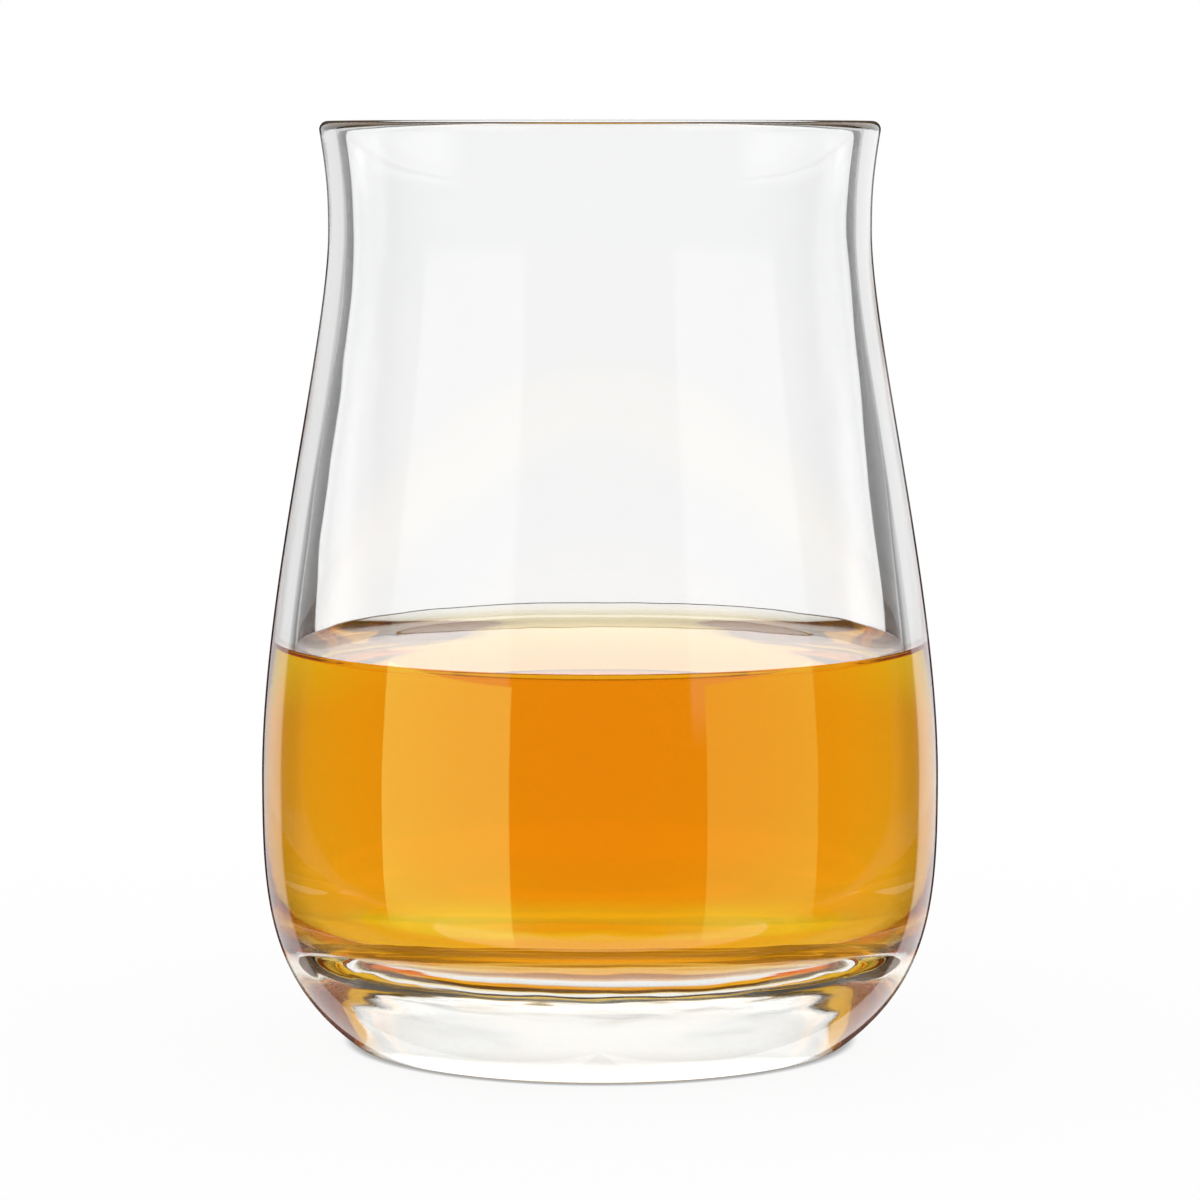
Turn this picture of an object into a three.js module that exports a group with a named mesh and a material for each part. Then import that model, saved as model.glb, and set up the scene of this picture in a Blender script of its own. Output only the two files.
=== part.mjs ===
// A stemless bourbon tumbler of clear crystal with a pour of bourbon in it.
// The glass is one blown piece: a heavy rounded base with a thick floor, a full belly, a drawn-in
// waist and a lip that flares a little. The bourbon is a body of its own that lies in the bowl.
// Lengths are in millimetres, +Z is up, and the origin is on the table, under the middle of the foot.

import * as THREE from "three";

// Driving sizes of the glass's outside
const glassHeight = 110;
const lipRadius = 33.25;
const waistRadius = 32.25;
const waistHeight = 97.2;
const bellyRadius = 40.5;
const bellyHeight = 31.7;
const footRadius = 29.2; // outer edge of the flat ring that the glass stands on
const footEdgeRound = 1; // radius of the edge between that ring and the side
const puntRadius = 23; // the hollow under the glass, inside the ring
const puntDepth = 1.6;

// Driving sizes of the wall and the floor
const lipWall = 2;
const waistWall = 2;
const bellyWall = 3.3;
const bowlBellyHeight = 33; // where the bowl inside is widest
const floorHeight = 10.4; // middle of the bowl's floor, over the table
const dishRadius = 18.5; // the shallow dish in the middle of that floor
const dishRise = 0.8; // how far the dish climbs to its edge

// Driving sizes of the pour
const pourHeight = 46.5; // its level surface, over the table
const meniscusRise = 1.6; // how far it climbs the wall
const meniscusReach = 1.9; // how fast that climb dies away from the wall
const pourGap = 0.3; // clearance between the pour and the glass

// Leans, in radians from level at the foot and from upright at the lip
const footLean = 0.64;
const lipLean = 0.16;

// How far each end of a stretch of outline runs on straight before it bends, as a share of the
// height of that stretch, or of its width for the corner of the bowl's floor
const footPullShare = 0.41;
const bellyDownPullShare = 0.43;
const bellyUpPullShare = 0.335;
const waistDownPullShare = 0.19;
const waistUpPullShare = 0.32;
const lipPullShare = 0.42;
const bowlDownPullShare = 1;
const cornerPullShare = 0.45;

// Facets: round the axis, and along each stretch of outline
const roundSteps = 64;
const longSteps = 10;
const shortSteps = 5;
const edgeSteps = 3;
const meniscusSteps = 7;
const halvingSteps = 40;

const polar = (length, angle) => new THREE.Vector2(length * Math.cos(angle), length * Math.sin(angle));

// One smooth stretch of outline, from one point to the next. Each pull is a vector that says which
// way the outline leaves that end, and for how long it holds that way.
function stretch(start, startPull, end, endPull) {
  return new THREE.CubicBezierCurve(
    start,
    start.clone().add(startPull),
    end.clone().add(endPull),
    end,
  );
}

// A round stretch about a centre, from one angle to another
function round(centre, radius, startAngle, endAngle) {
  const clockwise = endAngle < startAngle;
  return new THREE.EllipseCurve(
    centre.x, centre.y, radius, radius, startAngle, endAngle, clockwise,
  );
}

const up = (length) => new THREE.Vector2(0, length);

// The outside, from the middle of the punt to the lip
function outsideStretches() {
  // The punt is a shallow cap of a sphere, which meets the foot ring at its edge.
  const puntBall = (puntRadius ** 2 + puntDepth ** 2) / (2 * puntDepth);
  const puntHalf = Math.asin(puntRadius / puntBall);
  const puntCentre = up(puntDepth - puntBall);
  const punt = round(puntCentre, puntBall, Math.PI / 2, Math.PI / 2 - puntHalf);

  const edgeCentre = new THREE.Vector2(footRadius, footEdgeRound);
  const edge = round(edgeCentre, footEdgeRound, -Math.PI / 2, footLean - Math.PI / 2);

  const sideStart = edge.getPoint(1);
  const belly = new THREE.Vector2(bellyRadius, bellyHeight);
  const waist = new THREE.Vector2(waistRadius, waistHeight);
  const bellyToWaist = waistHeight - bellyHeight;
  const waistToLip = glassHeight - waistHeight;
  const lip = lipRounds()[0].getPoint(0);
  return [
    [punt, shortSteps],
    [edge, edgeSteps],
    [
      stretch(
        sideStart, polar(footPullShare * bellyHeight, footLean),
        belly, up(-bellyDownPullShare * bellyHeight),
      ),
      longSteps,
    ],
    [
      stretch(
        belly, up(bellyUpPullShare * bellyToWaist),
        waist, up(-waistDownPullShare * bellyToWaist),
      ),
      longSteps,
    ],
    [
      stretch(
        waist, up(waistUpPullShare * waistToLip),
        lip, polar(-lipPullShare * waistToLip, Math.PI / 2 - lipLean),
      ),
      shortSteps,
    ],
  ];
}

// The lip is fire-polished to a half round, which leans out with the wall. It has an outer stretch,
// up to its top, and an inner one.
function lipRounds() {
  const half = lipWall / 2;
  const centre = new THREE.Vector2(lipRadius - half, glassHeight - half);
  return [
    round(centre, half, -lipLean, Math.PI / 2),
    round(centre, half, Math.PI / 2, Math.PI - lipLean),
  ];
}

// The bowl inside, from the middle of its floor to the lip. The floor is a shallow dish, and a
// rounded corner leads from its edge into the upright wall.
function bowlPath() {
  const dishBall = (dishRadius ** 2 + dishRise ** 2) / (2 * dishRise);
  const dishLean = Math.asin(dishRadius / dishBall);
  const dishCentre = up(floorHeight + dishBall);
  const dish = round(dishCentre, dishBall, -Math.PI / 2, dishLean - Math.PI / 2);
  const dishEdge = new THREE.Vector2(dishRadius, floorHeight + dishRise);
  const belly = new THREE.Vector2(bellyRadius - bellyWall, bowlBellyHeight);
  const waist = new THREE.Vector2(waistRadius - waistWall, waistHeight);
  const dishToBelly = bowlBellyHeight - dishEdge.y;
  const bellyToWaist = waistHeight - bowlBellyHeight;
  const waistToLip = glassHeight - waistHeight;
  const path = new THREE.CurvePath();
  path.add(dish);
  path.add(
    stretch(
      dishEdge, polar(cornerPullShare * (belly.x - dishRadius), dishLean),
      belly, up(-bowlDownPullShare * dishToBelly),
    ),
  );
  path.add(
    stretch(
      belly, up(bellyUpPullShare * bellyToWaist),
      waist, up(-waistDownPullShare * bellyToWaist),
    ),
  );
  path.add(
    stretch(
      waist, up(waistUpPullShare * waistToLip),
      lipRounds()[1].getPoint(1), polar(-lipPullShare * waistToLip, Math.PI / 2 - lipLean),
    ),
  );
  return path;
}

// The points of several stretches in a row, with each shared end written once
function outline(stretches) {
  const points = [];
  for (const [curve, steps] of stretches) {
    for (const point of curve.getPoints(steps)) {
      const last = points.at(-1);
      if (!last || last.distanceTo(point) > Number.EPSILON * glassHeight) points.push(point);
    }
  }
  return points;
}

function glassOutline() {
  const [dish, corner, bellyBend, lipBend] = bowlPath().curves;
  const bowl = outline([
    [dish, edgeSteps], [corner, longSteps], [bellyBend, longSteps], [lipBend, shortSteps],
  ]);
  const [lipOutside, lipInside] = lipRounds();
  const points = outline([
    ...outsideStretches(), [lipOutside, edgeSteps], [lipInside, edgeSteps],
  ]);
  points.push(...bowl.reverse().slice(1));
  return points;
}

// A point of the bowl's wall, moved off it by the clearance. The share runs along the wall from
// the middle of the floor, at 0, to the lip, at 1.
function besideWall(path, share) {
  const along = path.getTangent(share);
  const inward = new THREE.Vector2(-along.y, along.x);
  return path.getPoint(share).addScaledVector(inward, pourGap);
}

// How far up the wall the pour reaches a height, found by halving
function shareAtHeight(path, height) {
  let low = 0;
  let high = 1;
  for (let i = 0; i < halvingSteps; i += 1) {
    const middle = (low + high) / 2;
    if (besideWall(path, middle).y < height) low = middle;
    else high = middle;
  }
  return low;
}

// The pour follows the bowl from the middle of its floor to the line where it wets the wall, and
// then the meniscus falls away to the level surface.
function pourOutline() {
  const path = bowlPath();
  const contactShare = shareAtHeight(path, pourHeight + meniscusRise);
  const wallSteps = 2 * longSteps;
  const points = [];
  for (let i = 0; i <= wallSteps; i += 1) {
    points.push(besideWall(path, (contactShare * i) / wallSteps));
  }
  points[0].x = 0;
  const contact = points.at(-1);
  for (let i = 1; i <= meniscusSteps; i += 1) {
    const rise = (1 - i / meniscusSteps) ** 2;
    const inset = i < meniscusSteps ? -meniscusReach * Math.log(rise) : contact.x;
    points.push(new THREE.Vector2(contact.x - inset, pourHeight + meniscusRise * rise));
  }
  return points;
}

// A solid of revolution about the upright axis. The outline runs from the axis round to the axis.
function turned(name, points, material) {
  points[0].x = 0;
  points.at(-1).x = 0;
  const geometry = new THREE.LatheGeometry(points, roundSteps);
  geometry.rotateX(Math.PI / 2);
  const mesh = new THREE.Mesh(geometry, material);
  mesh.name = name;
  return mesh;
}

const crystal = new THREE.MeshStandardMaterial({
  color: 0xf4f7f7,
  roughness: 0.03,
  metalness: 0,
  transparent: true,
  opacity: 0.35,
});

const amberSpirit = new THREE.MeshStandardMaterial({
  color: 0xe68a06,
  roughness: 0.05,
  metalness: 0,
});

const bourbonGlass = new THREE.Group();
bourbonGlass.name = "bourbon_glass";
bourbonGlass.add(turned("glass", glassOutline(), crystal));
bourbonGlass.add(turned("bourbon", pourOutline(), amberSpirit));

export default bourbonGlass;
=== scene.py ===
# %% [markdown]
# # A bourbon glass against white
# The object is a stemless tumbler of clear crystal with a pour of bourbon in it. Clear glass has
# no colour of its own: what the eye reads as its shape is the room, bent by two surfaces. So the
# work has three parts: outlines that flow without a kink, materials that bend and tint light as
# crystal and spirit do, and a studio whose bright and dark parts were set one by one until the grey
# edges and the long reflections stood about where the photograph has them.

# %% Load the frame
import math

import bpy
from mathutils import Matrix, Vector, noise


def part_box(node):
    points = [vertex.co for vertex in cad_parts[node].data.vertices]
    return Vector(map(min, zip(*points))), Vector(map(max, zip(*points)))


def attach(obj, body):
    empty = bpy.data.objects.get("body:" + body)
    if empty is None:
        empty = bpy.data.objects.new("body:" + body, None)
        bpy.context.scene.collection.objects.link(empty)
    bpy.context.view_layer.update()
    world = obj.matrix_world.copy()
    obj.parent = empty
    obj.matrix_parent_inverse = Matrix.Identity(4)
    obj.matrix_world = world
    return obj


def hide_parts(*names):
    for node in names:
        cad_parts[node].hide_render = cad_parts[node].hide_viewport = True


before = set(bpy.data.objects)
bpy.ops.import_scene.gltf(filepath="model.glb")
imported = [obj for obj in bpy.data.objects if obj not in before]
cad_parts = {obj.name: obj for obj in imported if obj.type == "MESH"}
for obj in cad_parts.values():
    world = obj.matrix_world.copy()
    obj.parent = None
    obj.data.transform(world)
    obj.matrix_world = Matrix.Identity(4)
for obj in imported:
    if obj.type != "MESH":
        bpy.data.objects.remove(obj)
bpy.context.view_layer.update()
MM = 0.001
glass_low, glass_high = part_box("glass")
glass_height = glass_high[2] - glass_low[2]
belly_radius = (glass_high[0] - glass_low[0]) / 2
print("glass", round(glass_height / MM, 2), "mm tall,", round(2 * belly_radius / MM, 2), "mm across")

# %% [markdown]
# ## The camera
# The camera looks from about 600 mm away with a long lens, from just above the height of the lip,
# down by less than six degrees. The lip then shows edge-on, as a thin line, and the pour's surface
# and the foot as ellipses. Distance, pitch and lens come from fitting the outline of the glass to
# the picture. The outline can't tell the camera's height, though: anything from 105 to 120 mm fits
# about as well, so the height is a choice, made for the thin line of the lip. The lens is written
# in pixels of a picture 1200 wide, as the fit gives it.

# %% Camera
camera_distance = 598 * MM
camera_height = 112.5 * MM
camera_pitch = math.radians(5.69)
picture_width_px = 1200
lens_px = 5022

camera_data = bpy.data.cameras.new("camera")
camera_data.sensor_width = 36
camera_data.lens = camera_data.sensor_width * lens_px / picture_width_px
camera = bpy.data.objects.new("camera", camera_data)
camera.location = (0, -camera_distance, camera_height)
camera.rotation_euler = (math.radians(90) - camera_pitch, 0, 0)
bpy.context.scene.collection.objects.link(camera)
bpy.context.scene.camera = camera
bpy.context.scene.view_settings.view_transform = "Standard"
print("lens", round(camera_data.lens, 1), "mm")

# %% [markdown]
# ## Outlines
# Both pieces are turned about the upright axis, so each is one outline. A blown glass has no
# straight lines and no compass arcs in its side: its outline leaves each turning point upright
# and bends steadily to the next. A cubic curve with a pull at each end says just that, and it
# keeps the slope continuous, which matters, because a refraction shows every kink in a slope.

# %% Curve helpers
def upward(length):
    return Vector((0, length))


def leaning(length, angle):
    """A vector of that length, at that angle above level."""
    return Vector((length * math.cos(angle), length * math.sin(angle)))


def stretch(start, start_pull, end, end_pull, steps):
    """Points of a smooth stretch of outline. A pull says which way it leaves an end, and how far."""
    near_start, near_end = start + start_pull, end + end_pull
    points = []
    for i in range(steps + 1):
        t = i / steps
        s = 1 - t
        points.append(s**3 * start + 3 * s * s * t * near_start + 3 * s * t * t * near_end + t**3 * end)
    return points


def arc(centre, radius, start_angle, end_angle, steps):
    turn = (end_angle - start_angle) / steps
    return [centre + leaning(radius, start_angle + turn * i) for i in range(steps + 1)]


def joined(*stretches):
    """One list of points from several stretches, with each shared end kept once."""
    points = list(stretches[0])
    for more in stretches[1:]:
        points.extend(more[1:])
    return points


# %% [markdown]
# ## Sizes
# The sizes are those of the solid model, in millimetres: the lip and the waist are slim, the belly
# is full, and the floor of the bowl is 10 mm thick, which gives the heavy foot of such a glass.

# %% Sizes of the glass
lip_radius = 33.25 * MM
waist_radius = 32.25 * MM
waist_height = 97.2 * MM
belly_height = 31.7 * MM
foot_radius = 29.2 * MM
foot_edge_round = 1 * MM
punt_radius = 23 * MM
punt_depth = 1.6 * MM
lip_wall = 2 * MM
waist_wall = 2 * MM
belly_wall = 3.3 * MM
bowl_belly_height = 33 * MM
floor_height = 10.4 * MM
dish_radius = 18.5 * MM
dish_rise = 0.8 * MM
foot_lean = 0.64
lip_lean = 0.16
foot_pull_share = 0.41
belly_down_pull_share = 0.43
belly_up_pull_share = 0.335
waist_down_pull_share = 0.19
waist_up_pull_share = 0.32
lip_pull_share = 0.42
bowl_down_pull_share = 1
corner_pull_share = 0.45

# %% Sizes of the pour
pour_height = 46.5 * MM
meniscus_rise = 1.6 * MM
meniscus_reach = 1.9 * MM
wetting = 0.12 * MM  # how deep the pour's mesh dips into the wall, so that no film of air is left

# %% Points along each stretch
dish_steps = 24  # the punt and the dish of the floor
edge_steps = 8
corner_steps = 64
side_steps = 56
lip_steps = 20
meniscus_steps = 40
level_steps = 12


# %% [markdown]
# ## The outline of the glass
# It starts in the hollow under the foot, runs over the flat ring that stands on the table, up the
# outside, over the fire-polished lip, and down the bowl to the middle of its floor.

# %% Outline of the outside
def lip_centre():
    half = lip_wall / 2
    return Vector((lip_radius - half, glass_height - half))


def outside_outline():
    ball = (punt_radius**2 + punt_depth**2) / (2 * punt_depth)
    half_turn = math.asin(punt_radius / ball)
    quarter = math.pi / 2
    punt = arc(upward(punt_depth - ball), ball, quarter, quarter - half_turn, dish_steps)
    ring_start, ring_end = Vector((punt_radius, 0)), Vector((foot_radius, 0))
    ring = [ring_start.lerp(ring_end, share) for share in (0, 0.03, 0.97, 1)]
    edge_centre = Vector((foot_radius, foot_edge_round))
    edge = arc(edge_centre, foot_edge_round, -quarter, foot_lean - quarter, edge_steps)
    belly = Vector((belly_radius, belly_height))
    waist = Vector((waist_radius, waist_height))
    belly_to_waist = waist_height - belly_height
    waist_to_lip = glass_height - waist_height
    lip = lip_centre() + leaning(lip_wall / 2, -lip_lean)
    lip_pull = leaning(-lip_pull_share * waist_to_lip, quarter - lip_lean)
    return joined(
        punt,
        ring,
        edge,
        stretch(
            edge[-1], leaning(foot_pull_share * belly_height, foot_lean),
            belly, upward(-belly_down_pull_share * belly_height), side_steps,
        ),
        stretch(
            belly, upward(belly_up_pull_share * belly_to_waist),
            waist, upward(-waist_down_pull_share * belly_to_waist), side_steps,
        ),
        stretch(waist, upward(waist_up_pull_share * waist_to_lip), lip, lip_pull, lip_steps),
        arc(lip_centre(), lip_wall / 2, -lip_lean, math.pi - lip_lean, lip_steps),
    )


# %% Outline of the bowl
def bowl_outline():
    """From the middle of the floor up to the inner side of the lip."""
    ball = (dish_radius**2 + dish_rise**2) / (2 * dish_rise)
    dish_lean = math.asin(dish_radius / ball)
    quarter = math.pi / 2
    dish = arc(upward(floor_height + ball), ball, -quarter, dish_lean - quarter, dish_steps)
    belly = Vector((belly_radius - belly_wall, bowl_belly_height))
    waist = Vector((waist_radius - waist_wall, waist_height))
    belly_to_waist = waist_height - bowl_belly_height
    waist_to_lip = glass_height - waist_height
    lip = lip_centre() + leaning(lip_wall / 2, math.pi - lip_lean)
    lip_pull = leaning(-lip_pull_share * waist_to_lip, math.pi / 2 - lip_lean)
    return joined(
        dish,
        stretch(
            dish[-1], leaning(corner_pull_share * (belly.x - dish_radius), dish_lean),
            belly, upward(-bowl_down_pull_share * (belly.y - dish[-1].y)), corner_steps,
        ),
        stretch(
            belly, upward(belly_up_pull_share * belly_to_waist),
            waist, upward(-waist_down_pull_share * belly_to_waist), side_steps,
        ),
        stretch(waist, upward(waist_up_pull_share * waist_to_lip), lip, lip_pull, lip_steps),
    )


glass_outline = joined(outside_outline(), list(reversed(bowl_outline())))
print("glass outline:", len(glass_outline), "points")


# %% [markdown]
# ## Turning
# A turned mesh is a ring of points for each point of the outline. The two ends of the outline lie
# on the axis and become single points, so that the mesh closes without slivers. Only a stray
# function, where there is one, moves a point off the turned shape, along the outline's normal.

# %% Turn an outline into a mesh
round_steps = 256


def turned(name, outline, stray=None):
    """A closed mesh of revolution. The outline starts and ends on the axis."""
    inner = outline[1:-1]
    corners = [(0, 0, outline[0].y)]
    for i, point in enumerate(inner):
        along = (outline[i + 2] - outline[i]).normalized()
        outward = Vector((along.y, -along.x))
        for k in range(round_steps):
            angle = 2 * math.pi * k / round_steps
            moved = point + stray(i + 1, point, angle) * outward if stray else point
            corners.append((moved.x * math.cos(angle), moved.x * math.sin(angle), moved.y))
    corners.append((0, 0, outline[-1].y))
    last = len(corners) - 1

    def at(row, k):
        return 1 + row * round_steps + k % round_steps

    faces = []
    for k in range(round_steps):
        faces.append((0, at(0, k + 1), at(0, k)))
        faces.append((last, at(len(inner) - 1, k), at(len(inner) - 1, k + 1)))
        for row in range(len(inner) - 1):
            faces.append((at(row, k), at(row, k + 1), at(row + 1, k + 1), at(row + 1, k)))
    mesh = bpy.data.meshes.new(name)
    mesh.from_pydata(corners, [], faces)
    mesh.validate()
    mesh.shade_smooth()
    piece = bpy.data.objects.new(name, mesh)
    bpy.context.scene.collection.objects.link(piece)
    print(name, "mesh:", len(mesh.polygons), "faces")
    return piece


# %% [markdown]
# ## An uneven bowl
# A blown bowl is never quite round inside. It strays by a few hundredths of a millimetre up the
# wall and by a tenth where the wall runs into the thick floor, too little to measure with a
# ruler. But the base is a strong lens, and it turns these waves into the swirls that tell blown
# glass from a drawing of it. Seeded noise gives the waves, stretched along the wall's height. The
# dish in the middle of the floor stays smooth here. Waves in it blurred the bright lens that the
# foot makes, and in the photograph that lens is smooth. How even the real dish is isn't known.

# %% How far the bowl strays
wall_stray = 0.03 * MM
corner_stray = 0.11 * MM
long_wave, short_wave = 8 * MM, 3 * MM
smooth_radius = 10 * MM  # the middle of the floor, up to here, doesn't stray
noise_start = Vector((3.1, 7.7, 1.9))


def into_the_glass(point, angle):
    """How far the bowl strays from round, into the glass, at a place."""
    place = Vector((point.x * math.cos(angle), point.x * math.sin(angle), 0.3 * point.y))
    waves = noise.noise(place / long_wave + noise_start)
    ripples = noise.noise(place / short_wave - noise_start)
    near_corner = math.exp(-(((point.y - floor_height) / (5 * MM)) ** 2))
    off_the_dish = min(1, max(0, (point.x - smooth_radius) / (8 * MM)))
    return (wall_stray + corner_stray * near_corner) * off_the_dish * (waves + 0.25 * ripples)


# %% Turn the glass
bowl_start = len(outside_outline())


def glass_stray(i, point, angle):
    return -into_the_glass(point, angle) if i >= bowl_start else 0


glass = turned("glass_crystal", glass_outline, glass_stray)
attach(glass, "root")
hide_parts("glass")

# %% [markdown]
# ## The pour
# The bourbon fills the bowl up to a level surface and climbs the wall in a meniscus 1.6 mm high.
# Spirit wets crystal, so there is no air between them. Its mesh therefore dips a little into the
# wall: light then meets the spirit's surface and the wall's in turn, and the two bends add up to
# the one bend from crystal into spirit. With a film of air there, the edges would turn to silver.

# %% Outline of the pour
def beside(wall, i, depth):
    """Point i of a wall's outline, moved off it by a depth, towards the glass."""
    before, after = wall[max(i - 1, 0)], wall[min(i + 1, len(wall) - 1)]
    along = (after - before).normalized()
    return wall[i] + depth * Vector((along.y, -along.x))


def pour_outline():
    wall = bowl_outline()
    contact_height = pour_height + meniscus_rise
    points = [upward(floor_height - wetting)]
    for i in range(1, len(wall)):
        point = beside(wall, i, wetting)
        if point.y > contact_height:
            break
        points.append(point)
    below, above = points[-1], point
    share = (contact_height - below.y) / (above.y - below.y)
    contact = below.lerp(above, share)
    points.append(contact)
    for i in range(1, meniscus_steps):
        rise = (1 - i / meniscus_steps) ** 2
        inset = -meniscus_reach * math.log(rise)
        points.append(Vector((contact.x - wetting - inset, pour_height + meniscus_rise * rise)))
    level_start = points[-1].x
    for i in range(1, level_steps):
        points.append(Vector((level_start * (1 - i / level_steps), pour_height)))
    points.append(upward(pour_height))
    return points


def pour_stray(i, point, angle):
    """The pour follows the bowl, and fades to true round at its surface."""
    depth = (pour_height - point.y) / (4 * MM)
    return into_the_glass(point, angle) * min(1, depth) if depth > 0 else 0


bourbon = turned("bourbon_pour", pour_outline(), pour_stray)
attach(bourbon, "root")
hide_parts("bourbon")


# %% [markdown]
# ## Shader maths in Python
# A material or a world is a graph of nodes, and a graph is hard to read as code. A small class
# wraps each socket, so that sums and products of sockets are written as Python expressions.

# %% Sockets that can be added and multiplied
class Wire:
    """An output socket that takes part in arithmetic."""

    def __init__(self, shop, socket):
        self.shop = shop
        self.socket = socket

    def _math(self, operation, *values):
        sockets = dict(enumerate(values))
        return self.shop.node("ShaderNodeMath", {"operation": operation}, sockets)["Value"]

    def __add__(self, other):
        return self._math("ADD", self, other)

    def __radd__(self, other):
        return self._math("ADD", other, self)

    def __sub__(self, other):
        return self._math("SUBTRACT", self, other)

    def __rsub__(self, other):
        return self._math("SUBTRACT", other, self)

    def __mul__(self, other):
        return self._math("MULTIPLY", self, other)

    def __rmul__(self, other):
        return self._math("MULTIPLY", other, self)

    def __abs__(self):
        return self._math("ABSOLUTE", self)

    def arcsine(self):
        return self._math("ARCSINE", self)

    def folded(self, length):
        """Runs from 0 up to the length and back to 0, over and over."""
        return self._math("PINGPONG", self, length)

    def above(self, level, soft):
        """0 below the level and 1 above it, with a smooth step of that width."""
        settings = {"interpolation_type": "SMOOTHSTEP"}
        sockets = {"Value": self, "From Min": level - soft / 2, "From Max": level + soft / 2}
        return self.shop.node("ShaderNodeMapRange", settings, sockets)["Result"]

    def between(self, low, high, soft):
        return self.above(low, soft) * (1 - self.above(high, soft))


class Made:
    """A node just made, whose outputs are read by name."""

    def __init__(self, shop, node):
        self.shop = shop
        self.node = node

    def __getitem__(self, name):
        return Wire(self.shop, self.node.outputs[name])


class Shop:
    """Makes the nodes of one tree."""

    def __init__(self, tree):
        self.tree = tree
        tree.nodes.clear()

    def node(self, kind, settings=None, sockets=None):
        made = self.tree.nodes.new(kind)
        for name, value in (settings or {}).items():
            setattr(made, name, value)
        for name, value in (sockets or {}).items():
            if isinstance(value, Wire):
                self.tree.links.new(value.socket, made.inputs[name])
            else:
                made.inputs[name].default_value = value
        return Made(self, made)

    def mix(self, share, first, second):
        """A colour between two colours."""
        node = self.tree.nodes.new("ShaderNodeMix")
        node.data_type = "RGBA"
        slots = {0: share, 6: first, 7: second}
        for place, value in slots.items():
            if isinstance(value, Wire):
                self.tree.links.new(value.socket, node.inputs[place])
            else:
                node.inputs[place].default_value = value
        return Wire(self, node.outputs[2])

    def grey(self, value):
        """A colour whose three channels are one value."""
        sockets = {"Red": value, "Green": value, "Blue": value}
        return self.node("ShaderNodeCombineColor", None, sockets)["Color"]


# %% [markdown]
# ## Crystal
# Lead-free crystal bends light with an index of about 1.52 and takes almost nothing out of it.
# Fire polishing leaves a skin without scratches, but it is not optically flat: it keeps a faint
# wave, some hundredths of a millimetre high and a fingertip long, which the eye sees only where
# a straight reflection crosses it. A noise texture feeds a bump, which tilts the normal so far.

# %% Crystal
def material(name):
    made = bpy.data.materials.new(name)
    made.use_nodes = True
    return made, Shop(made.node_tree)


def skin(shop, wave_length, height):
    """A normal tilted by faint waves of that length and height."""
    where = shop.node("ShaderNodeTexCoord")["Object"]
    sockets = {"Vector": where, "Scale": 1 / wave_length, "Detail": 1.5, "Roughness": 0.4}
    waves = shop.node("ShaderNodeTexNoise", None, sockets)["Fac"]
    sockets = {"Height": waves, "Distance": height, "Strength": 1.0}
    return shop.node("ShaderNodeBump", None, sockets)["Normal"]


def crystal():
    made, shop = material("crystal")
    surface = shop.node("ShaderNodeBsdfPrincipled", None, {
        "Base Color": (0.99, 0.994, 0.992, 1),
        "Roughness": 0.0,
        "IOR": 1.52,
        "Transmission Weight": 1.0,
        "Normal": skin(shop, 14 * MM, 0.02 * MM),
    })
    shop.node("ShaderNodeOutputMaterial", None, {"Surface": surface["BSDF"]})
    return made


glass.data.materials.append(crystal())


# %% [markdown]
# ## Bourbon
# The colour is in the depth of the spirit and not on its surface, so it is an absorption: red
# passes, about a third of the green gets through the full width, and blue hardly at all. The
# thin rim of the pour then comes out yellow and the middle deep orange, as in a real glass. Its
# surface is level but not dead: a hand or a step sets it quivering, so it gets a faint wave too.

# %% Bourbon
def spirit():
    made, shop = material("amber_spirit")
    surface = shop.node("ShaderNodeBsdfPrincipled", None, {
        "Base Color": (1, 1, 1, 1),
        "Roughness": 0.0,
        "IOR": 1.36,
        "Transmission Weight": 1.0,
        "Normal": skin(shop, 9 * MM, 0.02 * MM),
    })
    depth = shop.node("ShaderNodeVolumeAbsorption", None, {
        "Color": (0.989, 0.84, 0.09, 1),
        "Density": 110.0,
    })
    shop.node("ShaderNodeOutputMaterial", None, {
        "Surface": surface["BSDF"],
        "Volume": depth["Volume"],
    })
    return made


bourbon.data.materials.append(spirit())

# %% [markdown]
# ## The studio
# Glass is drawn by what stands round it. Behind the glass is a white wall, which shines through
# it. The wall ends at both sides and overhead, and where a thick edge of glass bends a ray past
# that end, the edge turns grey or black: that is how a photographer draws clear glass on white.
# Two tall soft boxes beside the camera leave the two long, pale reflections.
#
# All of this could be built from cards and lamps. A world is simpler and has no hot spots: its
# colour is worked out from the direction in which a ray leaves. The Light Path node tells the
# rays that came through the glass from those that the outer surface mirrored.

# %% Directions in the studio
world = bpy.data.worlds.new("studio")
bpy.context.scene.world = world
world.use_nodes = True
shop = Shop(world.node_tree)
degree = math.radians(1)

direction = shop.node("ShaderNodeTexCoord")["Generated"]
parts = shop.node("ShaderNodeSeparateXYZ", None, {"Vector": direction})
turn_settings = {"operation": "ARCTAN2"}
azimuth = shop.node("ShaderNodeMath", turn_settings, {0: parts["X"], 1: parts["Y"]})["Value"]
rise = parts["Z"].arcsine()
swing = abs(azimuth)
quarter_swing = swing.folded(45 * degree)
eighth_swing = swing.folded(22.5 * degree)

# %% Tell the rays apart
path = shop.node("ShaderNodeLightPath")
crossings = path["Transmission Depth"]
mirrorings = path["Glossy Depth"]
count_soft = 0.1  # counts are whole numbers, so the step between two of them can be narrow


def more_than(count, number):
    """1 where a count is more than a whole number, and else 0."""
    return count.above(number + 0.5, count_soft)


two_crossings = crossings.between(1.5, 2.5, count_soft)
four_crossings = crossings.between(3.5, 4.5, count_soft)
two_to_four = crossings.between(1.5, 4.5, count_soft)
straight = 1 - more_than(mirrorings, 0)
through_base = straight * two_crossings
through_empty = straight * four_crossings
through_pour = straight * more_than(crossings, 4)

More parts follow.
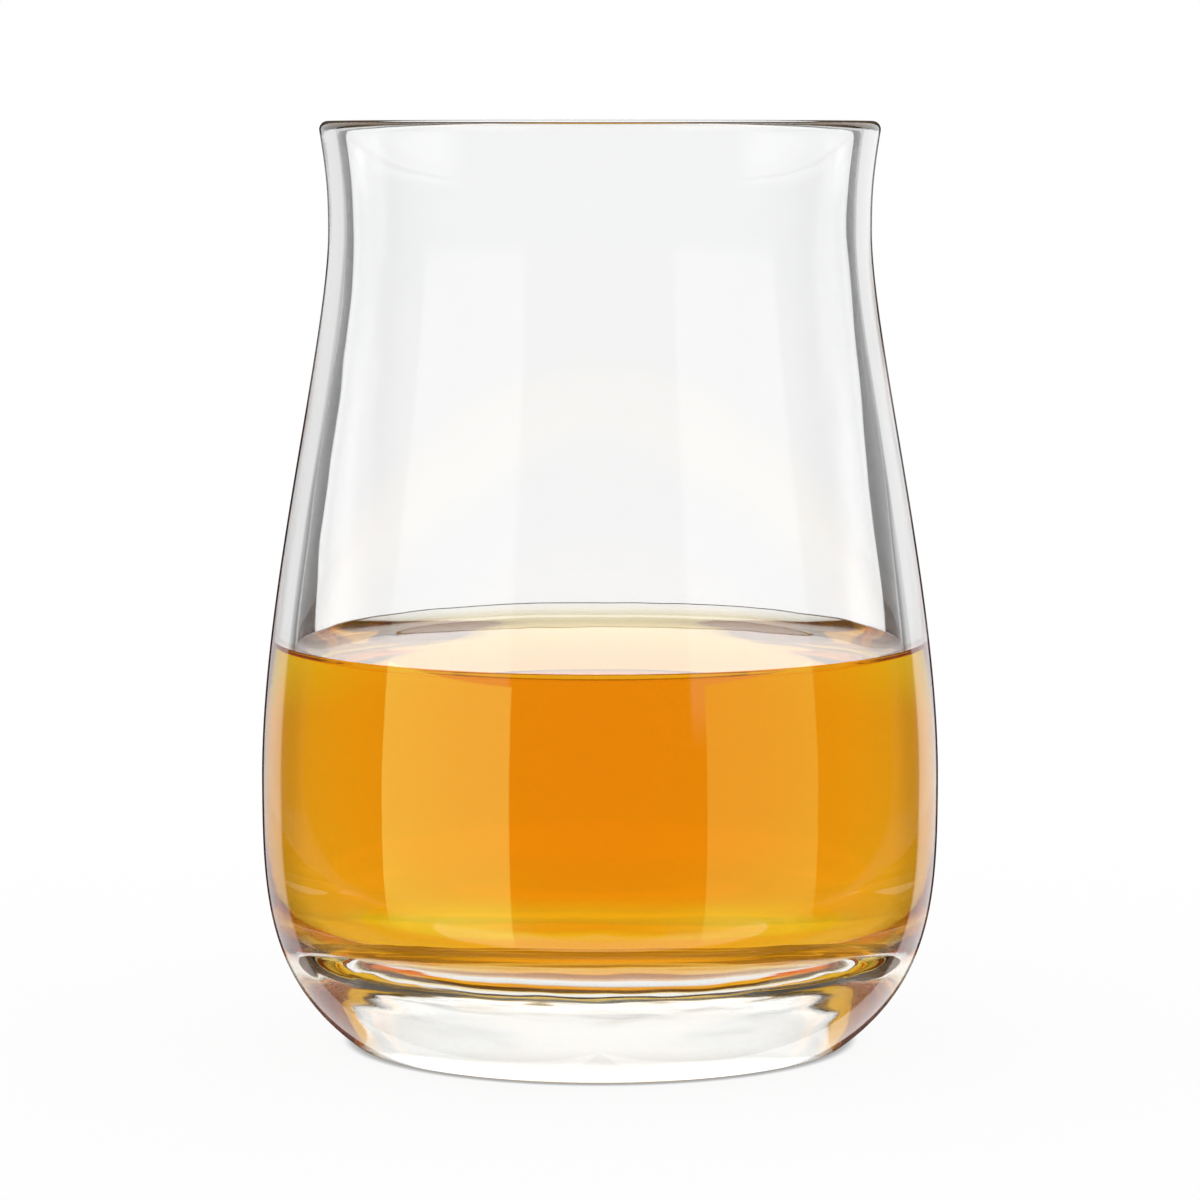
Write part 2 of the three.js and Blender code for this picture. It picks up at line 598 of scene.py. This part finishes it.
# %% What shines through the glass
overhead = rise.between(27 * degree, 52 * degree, 6 * degree)
past_board = (eighth_swing - 16.5 * degree).above(0, 0.6 * degree)
board_glow = 1.08 + 0.25 * eighth_swing.between(9 * degree, 30 * degree, 5 * degree)
board = board_glow * (1 - past_board * 0.97)
table_shade = 0.15 * quarter_swing.above(40 * degree, 8 * degree)
wall = 1.08 * (1 - overhead * 0.95) * (1 - through_pour * table_shade)
wall = (1 - through_empty) * wall + through_empty * board
low = through_pour * rise.between(-17 * degree, -12.5 * degree, 4 * degree)
rising_rays = through_base * rise.between(6 * degree, 30 * degree, 3 * degree)
side_card = swing.between(38 * degree, 62 * degree, 2 * degree)
side_card_edge = swing.between(37 * degree, 41 * degree, 1.5 * degree)
through = shop.mix(low, shop.grey(wall), (1.08, 1.5, 1.3, 1))
through = shop.mix(rising_rays * side_card, through, (0.80, 0.70, 0.57, 1))
through = shop.mix(rising_rays * side_card_edge, through, (0.22, 0.12, 0.05, 1))

# %% [markdown]
# Light that is mirrored inside the glass draws the rest: the bright lens of the foot mirrors the
# bowl's floor, the wall's pale band mirrors its inner face, and the pour's surface mirrors the
# wall behind it. The count of crossings and the rise of a ray tell these apart.

# %% What is mirrored inside the glass
forward = 1 - swing.above(110 * degree, 20 * degree)
front = swing.above(50 * degree, 14 * degree) * (1 - forward * rise.above(6 * degree, 4 * degree))
front = front * (1 - more_than(mirrorings, 1))
level_rays = rise.between(-15 * degree, 6 * degree, 4 * degree)
side_shade = 0.7 * level_rays * quarter_swing.above(38 * degree, 6 * degree)
off_the_surface = rise.between(3.5 * degree, 8.5 * degree, 1 * degree)
off_the_meniscus = rise.between(16 * degree, 32 * degree, 4 * degree)
off_the_pour = four_crossings * (off_the_surface + off_the_meniscus)
in_the_foot = two_crossings * rise.between(2.5 * degree, 9 * degree, 3 * degree)
level_or_falling = 1 - rise.above(1 * degree, 3 * degree)
in_the_wall = two_crossings * level_or_falling
dry_edge = four_crossings * level_or_falling * swing.between(25 * degree, 50 * degree, 6 * degree)
lens_side = two_to_four * swing.above(45 * degree, 50 * degree)
lens = two_to_four * rise.between(9.5 * degree, 27 * degree, 2 * degree)
many_times = more_than(mirrorings, 7)
inside = (1 - overhead * 0.95) * (1 - front * 0.97) * (1 - side_shade)
inside = inside * (1 + 0.5 * off_the_pour) * (1 - 0.23 * in_the_wall) * (1 - 0.8 * dry_edge)
inside = inside * (1 - 0.55 * in_the_foot) * (1 - 0.22 * lens_side) * (1 + 0.08 * lens)
inside = inside * (1 - 0.7 * many_times)

# %% What the outer surface mirrors
boxes = (180 * degree - swing).between(31 * degree, 78 * degree, 2 * degree)
high_box = rise.above(3 * degree, 6 * degree)
mirrored = 0.03 + boxes * high_box * 0.8
left_or_right = 0.85 + 0.25 * azimuth.above(0, 0.1)
mirrored = mirrored + left_or_right * swing.between(16 * degree, 42 * degree, 3 * degree)

# %% The studio's colour for each ray
crossed = more_than(crossings, 0)
through = shop.mix(1 - straight, through, shop.grey(inside))
bent = shop.mix(crossed, shop.grey(mirrored), through)
plain = path["Is Camera Ray"] + path["Is Diffuse Ray"]
colour = shop.mix(plain, bent, (1, 1, 1, 1))
backdrop = shop.node("ShaderNodeBackground", None, {"Color": colour, "Strength": 1.0})
shop.node("ShaderNodeOutputWorld", None, {"Surface": backdrop["Background"]})


# %% [markdown]
# ## The soft boxes
# The long reflections on the pour come from two soft boxes that stand beside the camera and reach
# below the table's edge. They are curved cards here. Only the glass's outer surface mirrors them:
# their light doesn't fall on the table, and nothing shows them directly. Their tone is greener
# than a lamp's, to turn orange to yellow on the pour. Seen from the side, a grazing reflection is
# many times stronger and would draw that tone as a green edge, so the cards fade for the longer
# rays that such reflections need, as a soft box with a grid does for rays that leave it at a slant.

# %% Soft boxes
def curved_card(name, radius, start_angle, end_angle, low, high):
    """An upright strip of a cylinder about the glass. Angles are counted from the camera."""
    steps = 24
    corners, faces = [], []
    for k in range(steps + 1):
        angle = start_angle + (end_angle - start_angle) * k / steps
        x, y = radius * math.sin(angle), -radius * math.cos(angle)
        corners += [(x, y, low), (x, y, high)]
    for k in range(steps):
        faces.append((2 * k, 2 * k + 2, 2 * k + 3, 2 * k + 1))
    mesh = bpy.data.meshes.new(name)
    mesh.from_pydata(corners, [], faces)
    card = bpy.data.objects.new(name, mesh)
    bpy.context.scene.collection.objects.link(card)
    card.visible_camera = False
    card.visible_diffuse = False
    card.visible_transmission = False
    card.visible_volume_scatter = False
    card.visible_shadow = False
    return card


card_light = bpy.data.materials.new("soft_box_light")
card_light.use_nodes = True
light_shop = Shop(card_light.node_tree)
where = light_shop.node("ShaderNodeTexCoord")["Object"]
corner = light_shop.node("ShaderNodeSeparateXYZ", None, {"Vector": where})
bright = corner["Z"].above(-50 * MM, 50 * MM) * (1 - 0.45 * corner["X"].above(0, 1 * MM))
ray_length = light_shop.node("ShaderNodeLightPath")["Ray Length"]
card_reach = 123 * MM
card_tone = (0.62, 1, 0.25, 1)
card_strength = 3.4
bright = bright * (1 - ray_length.above(card_reach, 8 * MM))
tone = light_shop.mix(bright, (0, 0, 0, 1), card_tone)
glow = light_shop.node("ShaderNodeEmission", None, {"Color": tone, "Strength": card_strength})
light_shop.node("ShaderNodeOutputMaterial", None, {"Surface": glow["Emission"]})
card_radius, card_low, card_high = 150 * MM, -80 * MM, 58 * MM
for near_edge, far_edge in ((-26 * degree, -68 * degree), (31 * degree, 68 * degree)):
    card = curved_card("soft_box", card_radius, near_edge, far_edge, card_low, card_high)
    card.data.materials.append(card_light)


# %% [markdown]
# ## The table
# A wide pale disc, which fades to white away from the glass. A narrow ring of it, under the edge of the
# foot, gets painted shade, darker where little light gets in between the glass and the table.

# %% Table
def table_top(radius):
    mesh = bpy.data.meshes.new("table")
    steps = 96
    rim = [
        (radius * math.cos(2 * math.pi * k / steps), radius * math.sin(2 * math.pi * k / steps), 0)
        for k in range(steps)
    ]
    mesh.from_pydata(rim, [], [tuple(range(steps))])
    top = bpy.data.objects.new("table", mesh)
    bpy.context.scene.collection.objects.link(top)
    return top


table = table_top(3.0)
table.location.z = -0.02 * MM
made, shop = material("table_white")
where = shop.node("ShaderNodeTexCoord")["Object"]
distance = shop.node("ShaderNodeVectorMath", {"operation": "LENGTH"}, {0: where})["Value"]
crevice_start, crevice_end = 26 * MM, 30.4 * MM
table_tone = 0.93
# painted shade: a darker ring under the foot's edge, in both the table's paint and its glow
painted_crevice_shade = 1 - 0.55 * distance.between(crevice_start, crevice_end, 1.6 * MM)
paint = shop.node("ShaderNodeBsdfDiffuse", None, {"Color": shop.grey(table_tone * painted_crevice_shade)})
lit = shop.node("ShaderNodeEmission", None, {"Color": shop.grey(painted_crevice_shade), "Strength": 1.0})
path = shop.node("ShaderNodeLightPath")
fade = path["Is Camera Ray"] * (table_tone + (1 - table_tone) * distance.above(0.16, 0.2))
top = shop.node("ShaderNodeMixShader", None, {0: fade, 1: paint["BSDF"], 2: lit["Emission"]})
shop.node("ShaderNodeOutputMaterial", None, {"Surface": top["Shader"]})
table.data.materials.append(made)
table.visible_transmission = False
table.visible_glossy = False

# %% [markdown]
# ## Light paths
# Light that enters the thick base can be mirrored many times before it leaves. With the usual limit
# such rays end as black patches, so the limit is raised.

# %% Light paths
most_bounces = 64
cycles = bpy.context.scene.cycles
cycles.max_bounces = most_bounces
cycles.transmission_bounces = most_bounces
cycles.glossy_bounces = most_bounces
cycles.use_denoising = True
print("bounces:", most_bounces)
